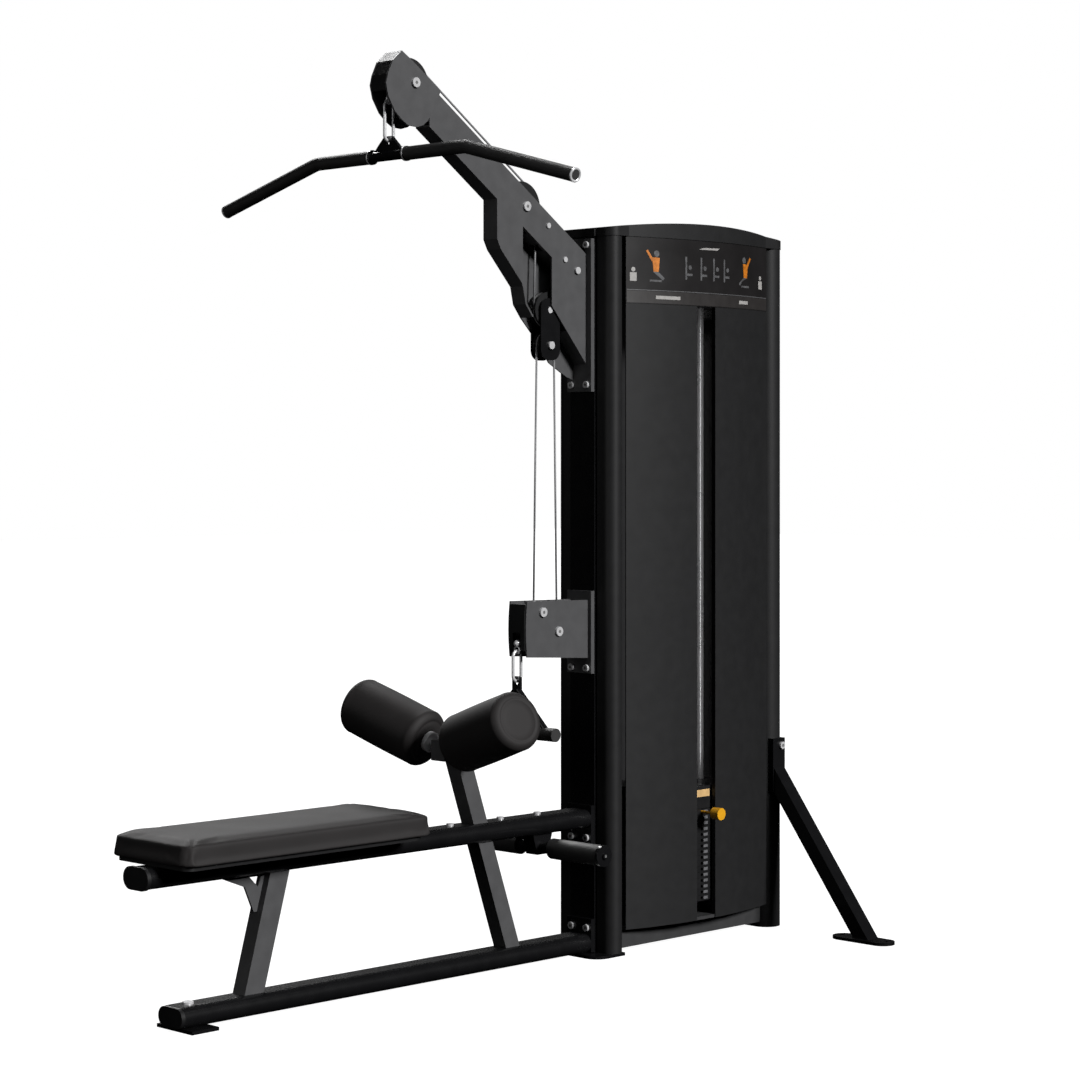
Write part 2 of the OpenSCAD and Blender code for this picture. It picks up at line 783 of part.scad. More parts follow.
// Lengths of cable that stay put, with their turns on the fixed pulleys and the ferrule
module fixed_cables() {
  entry_top = [entry_c[0], 0, entry_c[1] + entry_pr];
  exit_end = [row_ball[0] + row_ball[2] + gap, 0, row_ball[1]];
  color(chrome) {
    wrap(head_c, head_pr, run_normal + 0.2, 179.8 - run_normal);
    rod(on_pulley(head_c, head_pr, run_normal), on_pulley(boom_c, boom_pr, run_normal), cable_r);
    wrap(boom_c, boom_pr, 0, run_normal - 0.2);
    wrap(entry_c, entry_pr, 90.2, 89.8);
    rod(entry_top, [top_c[0], 0, top_c[1] + top_pr], cable_r);
    wrap(top_c, top_pr, 0, 89.8);
    wrap(row_c, row_pr, 270.2, 89.8);
    rod([row_c[0], 0, row_c[1] - row_pr], exit_end, cable_r);
    translate([anchor_c[0], 0, anchor_c[1] + axle_r])
      cylinder(r = 5, h = ferrule_z - anchor_c[1] - axle_r);
  }
}

// Straight vertical or near-vertical strand, drawn just short of its ends
module strand(x0, z0, x1, z1) {
  color(chrome) rod([x0, 0, z0 + 0.2], [x1, 0, z1 - 0.2], cable_r);
}

module lift_cable() { strand(stack_x, stem_top, stack_x, top_c[1]); }

module lat_drop_cable() { strand(lat_x, lat_ball[1] + lat_ball[2], lat_x, head_c[1]); }

module lat_down_strand() {
  strand(upper_c[0] - upper_pr, upper_c[1], boom_c[0] + boom_pr, boom_c[1]);
}

module lat_up_strand() {
  strand(upper_c[0] + upper_pr, upper_c[1], entry_c[0] - entry_pr, entry_c[1]);
}

module row_fixed_strand() {
  strand(anchor_c[0], ferrule_z + 0.4, lower_c[0] - lower_pr, lower_c[1]);
}

module row_pull_strand() {
  strand(row_c[0] + row_pr, row_c[1], lower_c[0] + lower_pr, lower_c[1]);
}

// ---------------------------------------------------------------- row station

// Side plates of the row box welded to the plate that bolts to the tower
module row_box() {
  nose_r = 560;
  color(plate_grey) {
    both_sides() slab(box_half - box_wall, box_half) difference() {
      intersection() {
        polygon([[-240, 781], [-mount_t, 768.5], [-mount_t, 918], [-240, 921]]);
        translate([nose_r - 237, 850]) circle(r = nose_r, $fn = 360);
      }
      for (c = [row_c, anchor_c]) translate(c) circle(r = axle_r + 0.1);
    }
    mount_plate(728, 941);
  }
}

// Moulded front of the row box, notched where the cable leaves
module row_box_cover() {
  inner = box_half - box_wall - gap;
  nose_r = 560;
  color(steel_dark) difference() {
    slab(-inner, inner) intersection() {
      translate([-241, 797]) square([30, 117]);
      difference() {
        translate([nose_r - 239.5, 850]) circle(r = nose_r, $fn = 360);
        translate([nose_r - 229, 850]) circle(r = nose_r, $fn = 360);
      }
    }
    translate([-250, -14, 790]) cube([40, 28, 52]);
  }
}

// ---------------------------------------------------------------- handles

// Ball on a cable's end with the ring that takes a snap hook whose top bow is at hook_z
module stop_ball(ball, hook_z) {
  ring_z = hook_z + 2;
  color(chrome) {
    translate([ball[0], 0, ball[1]]) sphere(r = ball[2]);
    translate([ball[0], 0, ring_z]) rotate([0, 90, 0])
      rotate_extrude() translate([eye_r, 0]) circle(r = eye_t, $fn = 24);
  }
}

module lat_stop_ball() { stop_ball(lat_ball, lat_hook_z); }

module row_stop_ball() { stop_ball(row_ball, row_hook_z); }

// Long snap hook in the XZ plane, hanging from its top bow at z
module carabiner(x, z, l) {
  straight = l - 2 * hook_bow;
  color(chrome) translate([x, 0, z - hook_bow]) {
    for (s = [-1, 1]) translate([s * hook_bow, 0, -straight]) cylinder(r = hook_rod, h = straight);
    for (e = [[0, 0], [-straight, 180]]) translate([0, 0, e[0]]) rotate([90, 0, 0]) rotate([0, 0, e[1]])
      rotate_extrude(angle = 180) translate([hook_bow, 0]) circle(r = hook_rod, $fn = 32);
  }
}

module lat_carabiner() { carabiner(lat_x, lat_hook_z, lat_hook_l); }

module row_carabiner() { carabiner(row_ball[0], row_hook_z, row_hook_l); }

// Hole that hangs on a hook's lower bow at z, in the YZ plane
module hook_hole(z) {
  translate([0, z - 2.5]) circle(r = 8);
}

// One bent half of the lat bar, of radius r, from y0 out to the end less trim
module half_bar(r, y0, trim) {
  bend_r = 80;
  y1 = bar_straight - bend_r * tan(drop_angle / 2);
  y2 = y1 + bend_r * sin(drop_angle);
  z2 = lat_bar_z - bend_r * (1 - cos(drop_angle));
  y3 = bar_half - trim;
  rod([lat_x, -y0, lat_bar_z], [lat_x, -y1, lat_bar_z], r);
  translate([lat_x, -y1, lat_bar_z - bend_r]) rotate([90, 0, 90]) rotate([0, 0, 90])
    rotate_extrude(angle = drop_angle, $fn = 96) translate([bend_r, 0]) circle(r = r);
  rod([lat_x, -y2, z2], [lat_x, -y3, lat_bar_z - (y3 - bar_straight) * tan(drop_angle)], r);
}

// Lat bar with its welded hanger, inner collars and end caps
module lat_bar() {
  lug_base = lat_bar_z + bar_r - 3;
  lug_top = lat_hook_z - lat_hook_l + 11;
  color(steel_black) {
    both_sides() {
      half_bar(bar_r, 0, 4);
      rod([lat_x, -58, lat_bar_z], [lat_x, -67, lat_bar_z], grip_r + 1.5);
    }
    bar_x(lat_x - 5, lat_x + 5) difference() {
      polygon([[-50, lug_base], [50, lug_base], [34, lug_base + 16], [12, lug_top], [-12, lug_top],
               [-34, lug_base + 16]]);
      hook_hole(lat_hook_z - lat_hook_l);
    }
  }
}

module lat_bar_grips() {
  color(rubber) both_sides() difference() {
    half_bar(grip_r, 67.2, 0);
    half_bar(bar_r + 0.1, 60, 3.8);
  }
}

// Row handle: a hanger plate, two splayed arms and a cross tube
module row_handle() {
  x = row_ball[0];
  hook_low = row_hook_z - row_hook_l;
  shoulder = hook_low - 22;
  color(steel_black) {
    bar_x(x - 4, x + 4) difference() {
      round_rect(-14, shoulder - 12, 14, hook_low + 12, 6);
      hook_hole(hook_low);
    }
    both_sides() rod([x, -4, shoulder], [x, -row_arm_y, row_grip_z + 8], 8);
    axle([x, row_grip_z], 10, -row_grip_half + 4, row_grip_half - 4);
  }
}

module row_handle_grips() {
  x = row_ball[0];
  shoulder = row_hook_z - row_hook_l - 22;
  color(rubber) both_sides() difference() {
    axle([x, row_grip_z], 17, -row_grip_half, -12);
    axle([x, row_grip_z], 10.1, -row_grip_half + 3.8, 0);
    rod([x, -4, shoulder], [x, -row_arm_y, row_grip_z + 8], 8.1);
  }
}

// ---------------------------------------------------------------- weight stack

module weight_plate(z, h) {
  translate([stack_x, 0, z]) difference() {
    translate([-plate_l / 2, -plate_half_w, 0]) cube([plate_l, 2 * plate_half_w, h]);
    for (s = [-1, 1]) translate([s * rod_dx, 0, -1]) cylinder(r = rod_r + 1, h = h + 2);
    translate([0, 0, -1]) cylinder(r = stem_r + 1, h = h + 2);
  }
}

module pin_hole(z) {
  axle([stack_x, z], pin_hole_r, -plate_half_w - 1, 0);
}

module plate_at(i) {
  z = plate_z0 + i * plate_pitch;
  difference() {
    weight_plate(z, plate_pitch - 0.5);
    pin_hole(z + plate_pitch / 2 - 0.25);
  }
}

// Plates that stay down
module weight_plates() {
  color(steel_dark) for (i = [0:plate_count - 2]) plate_at(i);
}

// Head plate and the selected plate under it
module head_plate() {
  color(steel_dark) {
    plate_at(plate_count - 1);
    weight_plate(head_plate_z, head_plate_h);
  }
}

module selector_stem() {
  color(chrome) difference() {
    union() {
      translate([stack_x, 0, plate_z0 + 4]) cylinder(r = stem_r, h = stem_top - plate_z0 - 24);
      translate([stack_x, 0, stem_top - 20]) cylinder(r = 7, h = 20);
    }
    for (i = [0:plate_count - 1]) pin_hole(plate_z0 + (i + 0.5) * plate_pitch - 0.25);
  }
}

module selector_pin() {
  knob_y = -175;
  color("gold") {
    axle([stack_x, pin_z], 16, knob_y - 13, knob_y + 13);
    axle([stack_x, pin_z], pin_r, knob_y + 13, -2);
  }
}

// Guide rods with the rubber bumpers under the stack
module guide_rods() {
  color(chrome) for (s = [-1, 1]) translate([stack_x + s * rod_dx, 0, tray_z + tray_t]) {
    cylinder(r = rod_r, h = beam_z + 12 - tray_z - tray_t);
    difference() {
      cylinder(r = 24, h = plate_z0 - tray_z - tray_t);
      translate([0, 0, -1]) cylinder(r = rod_r + 0.2, h = 60);
    }
  }
}

// ---------------------------------------------------------------- nodes

front_column();
rear_column();
front_trims();
top_cap();
inner_frame();
left_panel();
right_panel();
far_panel();
header_placard();
floor_rail();
rail_end_caps();
seat_rail();
front_leg();
thigh_post();
frame_bolts();
boom();
boom_brace();
head_housing();
head_cap();
head_pulley();
boom_pulley();
entry_pulley();
top_pulley();
fixed_axles();
block_yoke();
block_upper_pulley();
block_lower_pulley();
block_axles();
block_cables();
fixed_cables();
lift_cable();
lat_drop_cable();
lat_down_strand();
lat_up_strand();
row_fixed_strand();
row_pull_strand();
row_box();
row_box_cover();
row_pulley();
lat_stop_ball();
lat_carabiner();
lat_bar();
lat_bar_grips();
row_stop_ball();
row_carabiner();
row_handle();
row_handle_grips();
seat_pad();
seat_board();
thigh_axles();
roller_near();
roller_far();
foot_bar();
foot_sleeves();
rear_struts();
weight_plates();
head_plate();
selector_stem();
selector_pin();
guide_rods();
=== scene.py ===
import json
import math

import bmesh
import bpy
from mathutils import Matrix, Vector


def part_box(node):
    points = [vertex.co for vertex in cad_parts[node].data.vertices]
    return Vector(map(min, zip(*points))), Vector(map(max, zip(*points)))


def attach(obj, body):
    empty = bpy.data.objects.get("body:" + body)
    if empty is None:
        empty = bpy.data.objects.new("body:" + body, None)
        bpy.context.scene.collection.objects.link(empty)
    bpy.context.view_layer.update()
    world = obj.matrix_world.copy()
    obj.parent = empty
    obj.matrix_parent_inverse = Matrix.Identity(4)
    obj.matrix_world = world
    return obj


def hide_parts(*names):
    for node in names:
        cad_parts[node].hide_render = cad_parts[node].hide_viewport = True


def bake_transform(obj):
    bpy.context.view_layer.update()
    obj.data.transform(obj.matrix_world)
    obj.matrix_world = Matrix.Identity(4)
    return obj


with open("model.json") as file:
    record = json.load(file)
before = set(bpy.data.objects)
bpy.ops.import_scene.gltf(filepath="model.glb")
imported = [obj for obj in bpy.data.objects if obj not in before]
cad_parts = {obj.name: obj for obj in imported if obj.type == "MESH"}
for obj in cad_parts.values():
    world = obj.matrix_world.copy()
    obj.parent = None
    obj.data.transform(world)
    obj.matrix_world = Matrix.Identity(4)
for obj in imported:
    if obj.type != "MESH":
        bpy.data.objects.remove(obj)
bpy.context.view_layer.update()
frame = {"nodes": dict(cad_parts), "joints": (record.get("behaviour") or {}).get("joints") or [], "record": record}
scene = bpy.context.scene
joints = {j["name"]: j for j in frame["joints"]}

# Lengths are metres in the frame's axes: +Z up, X = 0 at the tower's narrow front face, +X along
# the tower away from the bench, Y = 0 in the plane of symmetry. The near side faces -Y.


# ------------------------------------------------------------------ materials

def material(name, color, rough, metallic=0.0, vary=0.0, vary_scale=30.0, bump=0.0,
             bump_scale=900.0, coat=0.0, specular=0.5):
    """Principled material whose colour and roughness drift a little, with a fine relief."""
    relief_depth = 0.0006
    m = bpy.data.materials.new(name)
    m.use_nodes = True
    nodes, links = m.node_tree.nodes, m.node_tree.links
    shader = nodes["Principled BSDF"]
    shader.inputs["Metallic"].default_value = metallic
    shader.inputs["Coat Weight"].default_value = coat
    shader.inputs["Specular IOR Level"].default_value = specular

    coords = nodes.new("ShaderNodeTexCoord")
    drift = nodes.new("ShaderNodeTexNoise")
    drift.inputs["Scale"].default_value = vary_scale
    drift.inputs["Detail"].default_value = 4.0
    links.new(coords.outputs["Object"], drift.inputs["Vector"])

    ramp = nodes.new("ShaderNodeValToRGB")
    darkest, lightest = ramp.color_ramp.elements
    darkest.position, lightest.position = 0.3, 0.7
    darkest.color = [c * (1 - vary) for c in color] + [1]
    lightest.color = [min(1, c * (1 + vary)) for c in color] + [1]
    links.new(drift.outputs["Fac"], ramp.inputs["Fac"])
    links.new(ramp.outputs["Color"], shader.inputs["Base Color"])

    sheen = nodes.new("ShaderNodeMapRange")
    sheen.inputs["To Min"].default_value = rough * 0.9
    sheen.inputs["To Max"].default_value = min(1.0, rough * 1.1)
    links.new(drift.outputs["Fac"], sheen.inputs["Value"])
    links.new(sheen.outputs["Result"], shader.inputs["Roughness"])

    if bump:
        fine = nodes.new("ShaderNodeTexNoise")
        fine.inputs["Scale"].default_value = bump_scale
        fine.inputs["Detail"].default_value = 2.0
        links.new(coords.outputs["Object"], fine.inputs["Vector"])
        relief = nodes.new("ShaderNodeBump")
        relief.inputs["Strength"].default_value = bump
        relief.inputs["Distance"].default_value = relief_depth
        links.new(fine.outputs["Fac"], relief.inputs["Height"])
        links.new(relief.outputs["Normal"], shader.inputs["Normal"])
    return m


def vinyl_material():
    """Black vinyl with a pebbled grain."""
    grain_scale, grain_depth = 420.0, 0.0005
    m = material("vinyl_black", (0.0135, 0.0120, 0.0120), 0.7, vary=0.15, vary_scale=9,
                 specular=0.3)
    nodes, links = m.node_tree.nodes, m.node_tree.links
    cells = nodes.new("ShaderNodeTexVoronoi")
    cells.feature = "DISTANCE_TO_EDGE"
    cells.inputs["Scale"].default_value = grain_scale
    links.new(nodes["Texture Coordinate"].outputs["Object"], cells.inputs["Vector"])
    grain = nodes.new("ShaderNodeBump")
    grain.inputs["Strength"].default_value = 0.35
    grain.inputs["Distance"].default_value = grain_depth
    links.new(cells.outputs["Distance"], grain.inputs["Height"])
    links.new(grain.outputs["Normal"], nodes["Principled BSDF"].inputs["Normal"])
    return m


# one look for each material slot of the record
looks = {
    "frame_paint": material("frame_powder", (0.0050, 0.0050, 0.0055), 0.27, vary=0.12,
                            bump=0.05, coat=0.15, specular=0.35),
    "shroud_paint": material("shroud_texture", (0.0118, 0.0118, 0.0123), 0.5, vary=0.08,
                             bump=0.12, bump_scale=1400, specular=0.2),
    "bracket_paint": material("bracket_powder", (0.062, 0.062, 0.064), 0.45, vary=0.08,
                              bump=0.08, specular=0.3),
    "placard_plastic": material("placard", (0.0110, 0.0102, 0.0104), 0.35, vary=0.15,
                                vary_scale=14, specular=0.3),
    "black_plastic": material("moulded_black", (0.006, 0.006, 0.0065), 0.5, vary=0.15,
                              bump=0.15, bump_scale=1100, specular=0.3),
    "bright_steel": material("bright_steel", (0.70, 0.70, 0.71), 0.28, metallic=0.45, vary=0.08),
    "cable_grey": material("coated_cable", (0.20, 0.20, 0.205), 0.45, vary=0.2, vary_scale=260),
    "grip_rubber": material("grip_rubber", (0.0240, 0.0236, 0.0236), 0.58, vary=0.15, bump=0.3,
                            bump_scale=1600, specular=0.35),
    "vinyl": vinyl_material(),
    "plate_iron": material("plate_enamel", (0.008, 0.008, 0.0085), 0.4, vary=0.2, bump=0.15,
                           bump_scale=500, specular=0.3),
    "pin_yellow": material("amber_knob", (0.62, 0.30, 0.012), 0.3, vary=0.06, vary_scale=60),
}

# looks of the printed and small pieces, which share a slot with something larger
label_cream = material("label_cream", (0.55, 0.36, 0.16), 0.4, vary=0.12, vary_scale=60)
label_grey = material("label_grey", (0.10, 0.10, 0.105), 0.45, vary=0.15, vary_scale=80)
ink_orange = material("ink_orange", (0.42, 0.13, 0.010), 0.4, vary=0.35, vary_scale=120)
ink_grey = material("ink_grey", (0.075, 0.075, 0.078), 0.4, vary=0.3, vary_scale=90)
ink_light = material("ink_light", (0.30, 0.29, 0.28), 0.4, vary=0.1, vary_scale=120)
band_grey = material("band_grey", (0.020, 0.018, 0.0175), 0.4, vary=0.1, vary_scale=40)
kick_paint = material("kick_powder", (0.036, 0.036, 0.037), 0.5, vary=0.08, bump=0.08,
                      specular=0.15)
# painted shade: dark colour of the flat hexagons that stand for the shade inside the bolts' hex sockets
socket_shade_paint = material("socket_shade_paint", (0.12, 0.12, 0.12), 0.5, vary=0.2)

slots = {s["node"]: s["material_slot"] for s in frame["record"]["subparts"]}
for node_name, node_object in frame["nodes"].items():
    look = kick_paint if node_name == "inner_frame" else looks[slots[node_name]]
    node_object.data.materials.clear()
    node_object.data.materials.append(look)


# ------------------------------------------------------------------ helpers

def circle(radius, sides):
    """Points of a circle about the origin, as (x, y) pairs."""
    return [(radius * math.cos(a), radius * math.sin(a))
            for a in (2 * math.pi * k / sides for k in range(sides))]


def new_object(name, bm, mat, smooth=True):
    """Object in the scene from a bmesh, which is freed."""
    me = bpy.data.meshes.new(name)
    bm.normal_update()
    bm.to_mesh(me)
    bm.free()
    for poly in me.polygons:
        poly.use_smooth = smooth
    o = bpy.data.objects.new(name, me)
    scene.collection.objects.link(o)
    me.materials.append(mat)
    return o


def prism(bm, first, second):
    """Join two loops of vertices with walls and close both ends."""
    count = len(first)
    for k in range(count):
        j = (k + 1) % count
        bm.faces.new((first[k], first[j], second[j], second[k]))
    bm.faces.new(list(reversed(first)))
    bm.faces.new(second)


def cable(name, start, end, radius):
    """Closed straight length of cable between two points."""
    bm = bmesh.new()
    turn = (end - start).normalized().to_track_quat("Z", "Y")
    rings = [[bm.verts.new(p + turn @ Vector((x, y, 0))) for x, y in circle(radius, 16)]
             for p in (start, end)]
    prism(bm, *rings)
    return new_object(name, bm, looks["cable_grey"])


def lathe(name, profile, mat, sides=48):
    """Turned solid about Z from (radius, z) points; a radius of zero closes it on the axis."""
    bm = bmesh.new()
    rings = []
    for r, z in profile:
        spots = circle(r, sides) if r > 0 else [(0, 0)]
        rings.append([bm.verts.new((x, y, z)) for x, y in spots])
    for a, b in zip(rings, rings[1:]):
        for k in range(sides):
            j = (k + 1) % sides
            if len(a) == 1:
                bm.faces.new((a[0], b[j], b[k]))
            elif len(b) == 1:
                bm.faces.new((a[k], a[j], b[0]))
            else:
                bm.faces.new((a[k], a[j], b[j], b[k]))
    bmesh.ops.recalc_face_normals(bm, faces=bm.faces)
    return new_object(name, bm, mat)


def place(o, origin, direction):
    """Stand o on origin, with its own Z axis along direction."""
    turn = Vector(direction).to_track_quat("Z", "Y").to_matrix().to_4x4()
    o.matrix_world = Matrix.Translation(Vector(origin)) @ turn


def apply_modifiers(o):
    """Put the modifiers' result in place of the mesh."""
    graph = bpy.context.evaluated_depsgraph_get()
    result = bpy.data.meshes.new_from_object(o.evaluated_get(graph))
    o.modifiers.clear()
    old = o.data
    o.data = result
    bpy.data.meshes.remove(old)


# ------------------------------------------------------------------ seat pad

def swell(o, held_below):
    """Blow the mesh up from inside with Cloth, while the vertices under a height are held."""
    last_frame = 20
    cloth = o.modifiers.new("cloth", "CLOTH").settings
    cloth.use_pressure = True
    cloth.uniform_pressure_force = 4
    cloth.effector_weights.gravity = 0
    cloth.quality = 4
    held = o.vertex_groups.new(name="held")
    held.add([v.index for v in o.data.vertices if v.co.z < held_below], 1.0, "ADD")
    cloth.vertex_group_mass = "held"
    scene.frame_start = 1
    scene.frame_end = last_frame
    for f in range(1, last_frame + 1):
        scene.frame_set(f)
    apply_modifiers(o)
    scene.frame_set(1)


def fit_to_box(o, lo, hi):
    """Stretch the mesh along each axis so that it fills the box."""
    for k in range(3):
        at = [v.co[k] for v in o.data.vertices]
        low, high = min(at), max(at)
        for v in o.data.vertices:
            v.co[k] = lo[k] + (hi[k] - lo[k]) * (v.co[k] - low) / (high - low)


def seat_pad():
    """Cushion that swells from a shrunken copy of the CAD pad, then is fitted to the pad's box."""
    shrink = Vector((0.992, 0.975, 0.90))
    voxel = 0.006
    held_band = 0.004          # this much of the pad's height rests on its board
    farthest = 0.007           # no vertex moves farther than this
    clearance = 0.0002         # above the board
    crown = 0.003              # above the CAD pad

    lo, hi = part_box("seat_pad")
    mid = (lo + hi) / 2
    o = bpy.data.objects.new("pad_cushion", frame["nodes"]["seat_pad"].data.copy())
    scene.collection.objects.link(o)
    for v in o.data.vertices:
        d = v.co - mid
        v.co = Vector((mid.x + d.x * shrink.x, mid.y + d.y * shrink.y,
                       lo.z + (v.co.z - lo.z) * shrink.z))
    o.data.materials.clear()
    remesh = o.modifiers.new("remesh", "REMESH")
    remesh.mode = "VOXEL"
    remesh.voxel_size = voxel
    apply_modifiers(o)

    rest = [v.co.copy() for v in o.data.vertices]
    swell(o, lo.z + held_band)
    for v, r in zip(o.data.vertices, rest):
        d = v.co - r
        if d.length > farthest:
            v.co = r + d.normalized() * farthest
        if v.co.z < lo.z:
            v.co.z = lo.z

    soften = o.modifiers.new("smooth", "SMOOTH")
    soften.factor = 0.5
    soften.iterations = 3
    refine = o.modifiers.new("sub", "SUBSURF")
    refine.levels = refine.render_levels = 1
    apply_modifiers(o)
    fit_to_box(o, lo + Vector((0, 0, clearance)), hi + Vector((0, 0, crown)))
    for poly in o.data.polygons:
        poly.use_smooth = True
    o.data.materials.clear()
    o.data.materials.append(looks["vinyl"])
    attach(o, "frame")
    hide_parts("seat_pad")


seat_pad()


# ------------------------------------------------------------------ thigh rollers

def roller(node, joint):
    """Covered foam roller about its axle, with a groove in each face and a rounded rim."""
    hub = Vector(joints[joint]["pos_m"])
    axis = Vector(joints[joint]["axis"]).normalized()
    from_hub = [v.co - hub for v in frame["nodes"][node].data.vertices]
    along = [d.dot(axis) for d in from_hub]
    start = min(along)
    length = max(along) - start
    r = max((d - axis * s).length for d, s in zip(from_hub, along))

    bore = 0.0082              # radius of the blind hole for the axle
    bore_end = length - 0.0118
    edge = 0.021               # radius of the rounded rim
    dish = 0.0012              # depth of the face inside its end plane
    rim_steps, belly_steps = 8, 14
    belly = 0.0010             # swell of the side at half length

    flat_r = r - edge
    face = [(bore + 0.004, 0.0022), (r * 0.45, dish), (flat_r - 0.004, 0.0016),
            (flat_r - 0.001, 0.0036), (flat_r + 0.0018, 0.0018)]
    for k in range(1, rim_steps):
        a = math.radians(90 * k / rim_steps)
        face.append((flat_r + edge * math.sin(a), edge - edge * math.cos(a) + dish))
    side = []
    for k in range(belly_steps + 1):
        t = k / belly_steps
        side.append((r - 0.0008 + belly * math.sin(math.pi * t),
                     edge + (length - 2 * edge) * t))
    outer_face = [(radius, length - z) for radius, z in reversed(face[1:])]
    profile = ([(0, bore_end), (bore, bore_end), (bore, 0.004)] + face + side + outer_face
               + [(0, length - 0.0008)])
    o = lathe(node + "_foam", profile, looks["vinyl"], sides=72)
    place(o, hub + axis * start, axis)
    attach(o, node)
    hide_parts(node)


roller("roller_near", "roller_near_spin")
roller("roller_far", "roller_far_spin")


# ------------------------------------------------------------------ cables that change length

def stretch(name, node, frame_end):
    """Cable in place of a CAD one, from the frame at its high or low end to a moving body."""
    lo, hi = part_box(node)
    by_height = sorted(frame["nodes"][node].data.vertices, key=lambda v: v.co.z)
    half = len(by_height) // 2
    low = sum((v.co for v in by_height[:half]), Vector()) / half
    high = sum((v.co for v in by_height[half:]), Vector()) / (len(by_height) - half)
    start, end = (high, low) if frame_end == "high" else (low, high)
    o = cable(name, start, end, (hi.y - lo.y) / 2)
    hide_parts(node)
    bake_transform(o)


stretch("lat_drop", "lat_drop_cable", "high")
stretch("stack_lift_cable", "lift_cable", "high")
stretch("down_strand", "lat_down_strand", "high")
stretch("up_strand", "lat_up_strand", "high")
stretch("fixed_strand", "row_fixed_strand", "low")
stretch("pull_strand", "row_pull_strand", "low")


def row_tail():
    """Short length that pays out of the row box as the row handle is pulled."""
    radius = 0.0027
    inside, at_ball = 0.030, 0.007       # the two ends, measured from the ball's centre
    ball_x = joints["row_swing"]["pos_m"][0]
    exit_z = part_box("fixed_cables")[0].z + 0.0026
    start = Vector((ball_x + inside, 0, exit_z))
    end = Vector((ball_x + at_ball, 0, exit_z))
    o = cable("row_tail", start, end, radius)
    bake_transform(o)


row_tail()


# ------------------------------------------------------------------ bright trim

def bar_trim():
    """Bright collars beside the bar's hanger and bright plugs in the ends of its grips."""
    bar_x = joints["bar_tilt"]["pos_m"][0]
    bar_z = 2.013              # centre of the bar's straight middle
    collar_y = 0.0600
    end_y, end_drop, bend_run = 0.628, 0.095, 0.36
    plug_inset = 0.004
    slope = math.atan2(end_drop, bend_run)
    collar = [(0.0128, 0), (0.0176, 0), (0.0182, 0.0008), (0.0182, 0.0052), (0.0176, 0.006),
              (0.0128, 0.006), (0.0128, 0)]
    cup = [(0.0115, 0), (0.0166, 0), (0.0170, 0.0006), (0.0170, 0.0038), (0.0160, 0.0046),
           (0.0115, 0.0040), (0.0115, 0)]
    for side, s in (("near", -1), ("far", 1)):
        ring = lathe("bar_collar_" + side, collar, looks["bright_steel"])
        place(ring, (bar_x, s * collar_y, bar_z), (0, s, 0))
        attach(ring, "lat_handle")
        outward = Vector((0, s * math.cos(slope), -math.sin(slope)))
        tip = Vector((bar_x, s * end_y, bar_z - end_drop))
        plug = lathe("bar_plug_" + side, cup, looks["bright_steel"])
        place(plug, tip - outward * plug_inset, outward)
        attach(plug, "lat_handle")


bar_trim()


def hex_sockets():
    """Painted shade: flat dark hexagons on the bright bolt heads that face outward, in place of the shade inside
    their hex sockets.
    """
    depth, proud = 0.0012, 0.0002
    column_x, column_y, column_r = -0.0181, 0.027, 0.004
    column_z = (0.072, 0.304, 0.742, 1.473, 1.834)
    # bolts across the machine: x, z, |y| of the head's face, radius of the socket
    cross_bolts = ((-0.612, 2.192, 0.0361, 0.0045),      # head pulley
                   (-0.229, 1.919, 0.0311, 0.0045),      # boom pulley
                   (-0.121, 0.842, 0.0381, 0.0045),      # row box
                   (-0.178, 0.893, 0.0381, 0.0045),
                   (0.672, 0.497, 0.1151, 0.005),        # rear strut
                   (-0.165, 0.295, 0.2411, 0.004))       # foot bar
    spots = [((column_x, s * column_y, z), (-1, 0, 0), column_r)
             for z in column_z for s in (-1, 1)]
    spots += [((x, s * y, z), (0, s, 0), r) for x, z, y, r in cross_bolts for s in (-1, 1)]
    bm = bmesh.new()
    for at, outward, radius in spots:
        turn = Vector(outward).to_track_quat("Z", "Y")
        rings = [[bm.verts.new(Vector(at) + turn @ Vector((x, y, z)))
                  for x, y in circle(radius, 6)] for z in (-depth, proud)]
        prism(bm, *rings)
    # the dark hexagons are painted shade, standing proud of the heads rather than recessed into them
    o = new_object("bolt_socket_shade", bm, socket_shade_paint, smooth=False)
    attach(o, "frame")


hex_sockets()


# ------------------------------------------------------------------ header placard

head_lo, head_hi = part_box("header_placard")
bow_mid = (head_lo.x + head_hi.x) / 2
bow_half = (head_hi.x - head_lo.x) / 2
bow_sag = 0.039                # how far the placard bows out at its middle
bow_r = (bow_half ** 2 + bow_sag ** 2) / (2 * bow_sag)
print_root = 0.0003            # printed pieces reach this far into the placard


def bow_y(x):
    """Y of the bowed placard's face."""
    return head_lo.y + bow_r - math.sqrt(bow_r ** 2 - (x - bow_mid) ** 2)


def rect(x0, z0, x1, z1):
    return [(x0, z0), (x1, z0), (x1, z1), (x0, z1)]


def disc(cx, cz, radius):
    return [(cx + x, cz + z) for x, z in circle(radius, 14)]


def decal(name, outline, mat, lift=0.0004):
    """Thin raised shape on the bowed placard, from an outline of (x, z)."""
    bm = bmesh.new()
    front = [bm.verts.new((x, bow_y(x) - lift, z)) for x, z in outline]
    back = [bm.verts.new((x, bow_y(x) + print_root, z)) for x, z in outline]
    prism(bm, front, back)
    bmesh.ops.recalc_face_normals(bm, faces=bm.faces)
    o = new_object(name, bm, mat, smooth=False)
    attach(o, "frame")


